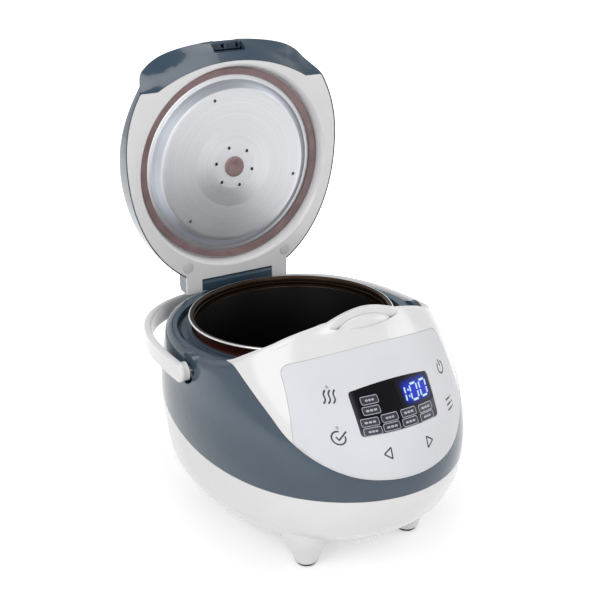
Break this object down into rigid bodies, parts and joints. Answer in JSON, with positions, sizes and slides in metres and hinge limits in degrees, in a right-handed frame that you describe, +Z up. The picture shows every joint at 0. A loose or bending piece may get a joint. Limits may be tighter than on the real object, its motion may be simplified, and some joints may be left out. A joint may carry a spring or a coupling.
{
  "type": "rice cooker",
  "caption": "Small rice cooker with its sprung lid open: a removable pot on a heating plate, a sloping control panel with a display, a latch button and a loop handle.",
  "frame": {"origin": "centre of the footprint of the whole object with its lid open, on the surface it stands on", "axes": "+Z up, -Y towards the control panel, +X to the right of someone facing the panel's back, which is the right of the front view"},
  "size_m": [0.2266, 0.3102, 0.3657],
  "materials": {
    "white_housing": "gloss",
    "slate_housing": "gloss",
    "fascia": "satin",
    "display_glass": "gloss",
    "display_parts": "matte",
    "circuit_board": "satin",
    "grey_plastic": "matte",
    "black_plastic": "matte",
    "silicone": "matte",
    "foot_rubber": "matte",
    "aluminium": "brushed",
    "pot_coating": "satin",
    "steel": "satin"
  },
  "bodies": {
    "body": {"base_shell": "white_housing", "bottom_cover": "grey_plastic", "foot_pad_front_left": "foot_rubber", "foot_pad_front_right": "foot_rubber", "foot_pad_back_left": "foot_rubber", "foot_pad_back_right": "foot_rubber", "body_shell": "slate_housing", "rim_tray": "slate_housing", "front_panel": "white_housing", "control_fascia": "fascia", "display_window": "display_glass", "display_module": "display_parts", "control_board": "circuit_board", "inner_liner": "aluminium", "heating_plate": "aluminium", "thermostat_bracket": "steel", "thermostat_spring": "steel", "power_board": "circuit_board", "power_inlet": "black_plastic", "hinge_bridge": "slate_housing", "hinge_pin": "steel", "lid_spring": "steel", "latch_bracket": "steel", "latch_pin": "steel", "handle_pin_left": "steel", "handle_pin_right": "steel"},
    "lid": {"lid_outer_shell": "slate_housing", "lid_inner_panel": "white_housing", "inner_lid_stud": "white_housing", "latch_catch": "slate_housing", "lid_bumper_left": "grey_plastic", "lid_bumper_right": "grey_plastic", "vent_seat": "silicone"},
    "inner_lid": {"inner_lid_disc": "aluminium", "lid_gasket": "silicone", "inner_lid_grommet": "silicone"},
    "vent_cap": {"steam_vent_cap": "slate_housing"},
    "latch": {"latch_hook": "grey_plastic"},
    "button": {"release_button": "white_housing"},
    "thermostat": {"thermostat_cup": "steel"},
    "pot": {"inner_pot": "pot_coating"},
    "handle": {"carry_handle": "white_housing"}
  },
  "joints": [
    {"name": "lid_hinge", "type": "hinge", "parent": "body", "child": "lid", "pos_m": [0, 0.11517, 0.1632], "axis": [-1, 0, 0], "range_deg": [-86.5, 0], "stiffness_Nm_per_rad": 0.35, "springref_deg": 20.05},
    {"name": "inner_lid_pull", "type": "slide", "parent": "lid", "child": "inner_lid", "axis": [0, -0.9981, -0.061], "range_m": [0, 0.01]},
    {"name": "vent_cap_pull", "type": "slide", "parent": "lid", "child": "vent_cap", "axis": [0, 0.9981, 0.061], "range_m": [0, 0.012]},
    {"name": "release_button_press", "type": "slide", "parent": "body", "child": "button", "axis": [0, 0, -1], "range_m": [0, 0.003], "stiffness_N_per_m": 300, "springref_m": -0.001},
    {"name": "latch_release", "type": "hinge", "parent": "body", "child": "latch", "pos_m": [0, -0.09423, 0.163], "axis": [1, 0, 0], "range_deg": [0, 6]},
    {"name": "thermostat_press", "type": "slide", "parent": "body", "child": "thermostat", "axis": [0, 0, 1], "range_m": [-0.002, 0], "stiffness_N_per_m": 400, "springref_m": 0.002, "deforming": ["thermostat_spring"]},
    {"name": "pot_lift", "type": "slide", "parent": "body", "child": "pot", "axis": [0, 0, 1], "range_m": [0, 0.085]},
    {"name": "handle_swing", "type": "hinge", "parent": "body", "child": "handle", "pos_m": [0, -0.01142, 0.1467], "axis": [1, 0, 0], "range_deg": [-8, 2]}
  ],
  "couplings": [
    {"joint": "latch_release", "follows": "release_button_press", "rad_per_m": 34.907}
  ]
}
